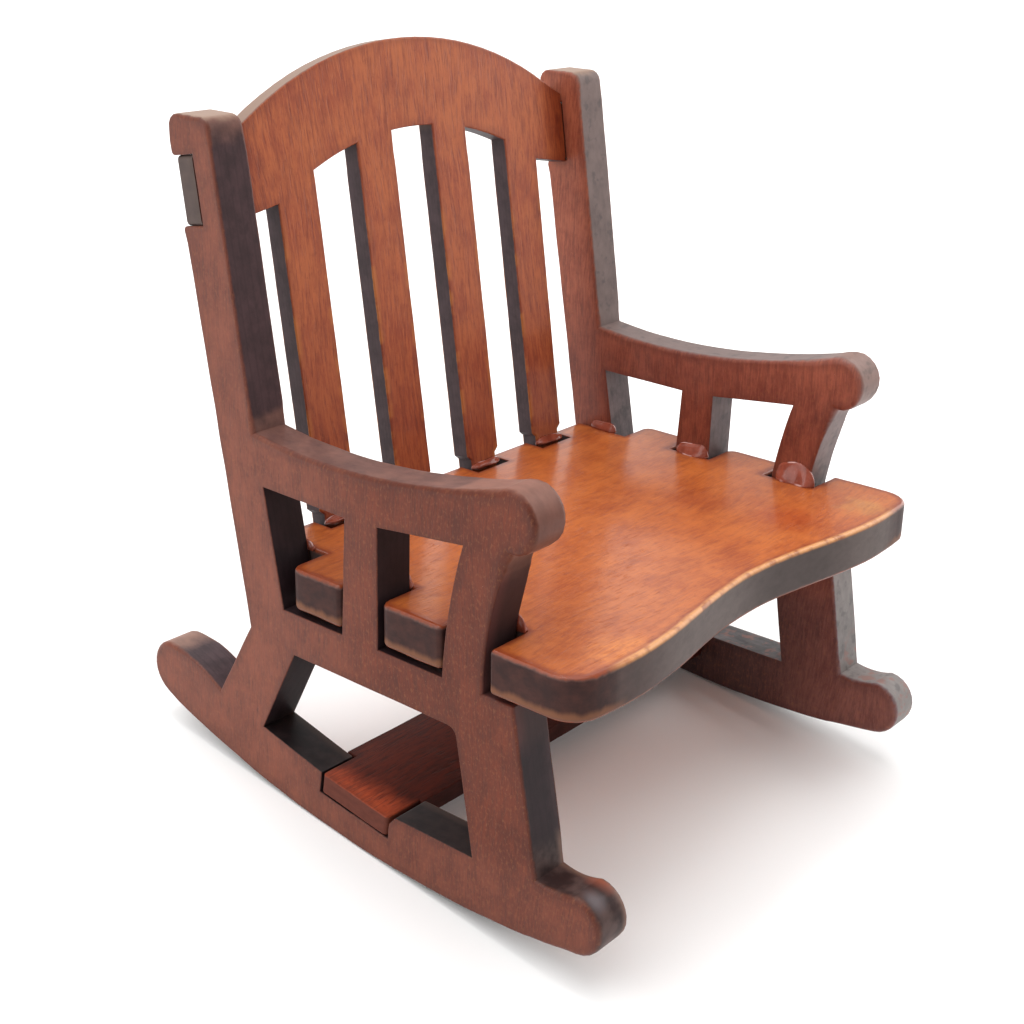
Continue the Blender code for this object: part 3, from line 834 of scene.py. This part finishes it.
def glue_look():
    """Clear glue over the stain: deep red, with painted highlights in places along its rims, and glossy."""
    n = Nodes("glue_film")
    where = n.make("TexCoord").outputs["Object"]
    cloud = n.texture(where, (1100, 1100, 1100), detail=3.0)
    fine = n.texture(where, (2600, 2600, 2600))
    colour = n.mix(n.ramp(cloud, 0.35, 0.62), (0.210, 0.041, 0.021), (0.290, 0.063, 0.034))
    # Painted highlights, pinkish white, in places along the film's upper and lower rims
    rim_highlight = n.ramp(n.texture(where, (900, 900, 900), (0.3, 0, 0), detail=1.0), 0.52, 0.66)
    rim_highlight = n.math("MULTIPLY", rim_highlight, n.attribute("rim", "Fac"))
    colour = n.mix(n.math("MULTIPLY", rim_highlight, 0.8), colour, (0.72, 0.46, 0.43))
    n.set(
        Base_Color=n.mix(n.ramp(fine, 0.60, 0.74, 0.0, 0.2), colour, (0.42, 0.19, 0.15)),
        Roughness=n.ramp(cloud, 0.3, 0.7, 0.16, 0.28),
        Specular_IOR_Level=0.25,
        Coat_Weight=0.30,
        Coat_Roughness=0.10,
        Normal=n.bump(cloud, 0.25, 0.08 * MM),
    )
    return n.material


def fillet_ring(corner, out, place, taper, sizes, offset):
    """One cross-section of a fillet: its points, the first sunk into the corner, and their "rim" values."""
    reach, height = sizes

    def vary(waves, y=0.0, z=0.0):
        return noise.noise(offset + Vector((place * waves, y, z)))

    wide = reach * taper * (0.90 + 0.40 * vary(0.60))
    high = height * taper * (0.92 + 0.40 * vary(0.45, 5.0))
    hollow = 2.30 + 0.4 * vary(0.5, 9.0)
    spots = [corner - out * SUNK - Z * SUNK]
    rims = [1.0]
    for turn in range(FILLET_TURNS + 1):
        angle = math.pi / 2 * turn / FILLET_TURNS
        thick = THICKEST * taper ** 0.5 * max(0.0, math.sin(2 * angle)) ** 0.45
        thick *= 0.85 + 0.8 * vary(0.55, angle * 1.3, 3.0)
        over = wide * math.sin(angle) ** hollow + thick * math.cos(angle)
        up = high * math.cos(angle) ** hollow + thick * math.sin(angle)
        if turn == 0:
            over -= SUNK
        if turn == FILLET_TURNS:
            up -= SUNK
        spots.append(corner + out * over + Z * up)
        rims.append(1.0 if 0 < min(turn, FILLET_TURNS - turn) <= RIM_TURNS else 0.0)
    return spots, rims


def glue_fillet(node, middle, along, out, sizes, look, seed):
    """Set glue in a corner of the joint: a lumpy fillet between the seat and the wood that rises from it.

    middle is on the corner line, along runs down it and out points away from the rising wood, in upright mm.
    sizes are the half length, the reach over the seat and the height. The attribute "rim" is 1 beside the
    film's upper and lower edges."""
    offset = Vector((seed * 7.3, seed * 3.1, 0.0))
    spots, rims = [], []
    for step in range(FILLET_STEPS + 1):
        share = -1.0 + 2.0 * step / FILLET_STEPS
        taper = (1.0 - share ** 4) ** 0.5 * 0.96 + 0.04
        place = share * sizes[0]
        ring_spots, ring_rims = fillet_ring(middle + along * place, out, place, taper, sizes[1:], offset)
        spots += ring_spots
        rims += ring_rims
    ring = FILLET_TURNS + 2
    faces = [tuple(reversed(range(ring))), tuple(range(FILLET_STEPS * ring, (FILLET_STEPS + 1) * ring))]
    for low in range(0, FILLET_STEPS * ring, ring):
        for k in range(ring):
            following = (k + 1) % ring
            faces.append((low + k, low + following, low + ring + following, low + ring + k))
    mesh = bpy.data.meshes.new(node + "_film")
    mesh.from_pydata([from_level(spot) for spot in spots], [], faces)
    mesh.attributes.new("rim", "FLOAT", "POINT").data.foreach_set("value", rims)
    tidied = bmesh.new()
    tidied.from_mesh(mesh)
    bmesh.ops.recalc_face_normals(tidied, faces=tidied.faces)
    tidied.to_mesh(mesh)
    tidied.free()
    mesh.polygons.foreach_set("use_smooth", [True] * len(mesh.polygons))
    shown(node + "_film", mesh, look, node)


def glue_fillets(look):
    for side, label in ((-1, "right"), (1, "left")):
        for number, (post, (y, *sizes)) in enumerate(POST_GLUE.items()):
            middle = Vector((side * FRAME_INNER_X, y, 0))
            glue_fillet(f"glue_{post}_{label}", middle, Y, -side * X, sizes, look, 1.0 + number + 3 * side)
        for number, (slat, x) in enumerate(SLAT_X.items()):
            middle = Vector((side * x, SLAT_GLUE_Y, 0))
            glue_fillet(f"glue_{slat}_{label}", middle, X, -Y, SLAT_GLUE, look, 11.0 + number + 3 * side)


# ---- light, floor and camera ----

# Where the camera stands, in upright mm, and its turn in degrees about x, y and z from looking straight down
CAMERA_AT = Vector((-83.827, -78.5066, 42.4996))
CAMERA_TURN = (68.3144, -0.7595, -49.2407)
SENSOR = 36.0
LENS = 55.7625

SURROUNDINGS = (0.60, 0.595, 0.585, 1.0)
WHITE = (1.0, 1.0, 1.0, 1.0)
SUN_FROM = Vector((-0.12, 0.30, 1.0))
SUN_STRENGTH = 1.9
SUN_SOFTNESS = math.radians(70)
# Soft panels, in metres and watts: where each hangs, its width and height, and its power
AIM = Vector((0, 0, 0.02))
PANELS = {
    "right": ((0.22, -0.04, 0.12), (0.20, 0.22), 0.36),
    "behind": ((0.16, 0.30, 0.20), (0.36, 0.26), 0.30),
    "glint": ((-0.035, 0.105, 0.33), (0.04, 0.04), 0.12),
    "left": ((-0.32, 0.14, 0.18), (0.25, 0.30), 0.5),
}
FLOOR_HALF = 6.0


def placed(name, data):
    thing = bpy.data.objects.new(name, data)
    bpy.context.scene.collection.objects.link(thing)
    return thing


def make_camera():
    """The photograph's view of the chair, which leans in the world, so the camera leans with it."""
    data = bpy.data.cameras.new("camera")
    data.sensor_width = SENSOR
    data.lens = LENS
    data.clip_start = 0.001
    data.clip_end = 20.0
    camera = placed("camera", data)
    turn = LEAN @ Euler([math.radians(angle) for angle in CAMERA_TURN]).to_matrix()
    camera.matrix_world = Matrix.Translation(from_level(CAMERA_AT)) @ turn.to_4x4()
    bpy.context.scene.camera = camera


def make_world():
    """Even light from all round, seen as plain white behind the chair."""
    world = bpy.data.worlds.new("studio")
    world.use_nodes = True
    tree = world.node_tree
    seen = tree.nodes.new("ShaderNodeLightPath")
    tint = tree.nodes.new("ShaderNodeMix")
    tint.data_type = "RGBA"
    tint.inputs[6].default_value = SURROUNDINGS
    tint.inputs[7].default_value = WHITE
    tree.links.new(seen.outputs["Is Camera Ray"], tint.inputs["Factor"])
    tree.links.new(tint.outputs[2], tree.nodes["Background"].inputs["Color"])
    bpy.context.scene.world = world


def make_lights():
    sun = bpy.data.lights.new("overhead", "SUN")
    sun.energy = SUN_STRENGTH
    sun.angle = SUN_SOFTNESS
    placed("overhead", sun).rotation_euler = SUN_FROM.to_track_quat("Z", "Y").to_euler()
    for name, (at, (width, height), power) in PANELS.items():
        panel = bpy.data.lights.new(name, "AREA")
        panel.shape = "RECTANGLE"
        panel.size = width
        panel.size_y = height
        panel.energy = power
        light = placed(name, panel)
        light.location = at
        light.rotation_euler = (AIM - Vector(at)).to_track_quat("-Z", "Y").to_euler()


def make_floor():
    built = bmesh.new()
    bmesh.ops.create_grid(built, x_segments=1, y_segments=1, size=FLOOR_HALF)
    mesh = bpy.data.meshes.new("floor")
    built.to_mesh(mesh)
    built.free()
    paper = Nodes("paper")
    paper.set(Base_Color=(0.93, 0.93, 0.93, 1.0), Roughness=0.9, Specular_IOR_Level=0.1)
    mesh.materials.append(paper.material)
    placed("floor", mesh)


def main():
    sanded_plate("side_frame_right", frame_sanding, PLY_HALF, near_wood())
    sanded_plate("side_frame_left", frame_sanding, PLY_HALF, far_wood())
    sanded_plate("seat_plate", seat_sanding, PLY_HALF, seat_wood())
    sanded_plate("back_plate", back_sanding, THIN_HALF, back_wood())
    sanded_plate("stretcher", stretcher_sanding, THIN_HALF, stretcher_wood())
    glue_fillets(glue_look())
    make_camera()
    make_world()
    make_lights()
    make_floor()
    bpy.context.scene.view_settings.view_transform = "Standard"


main()
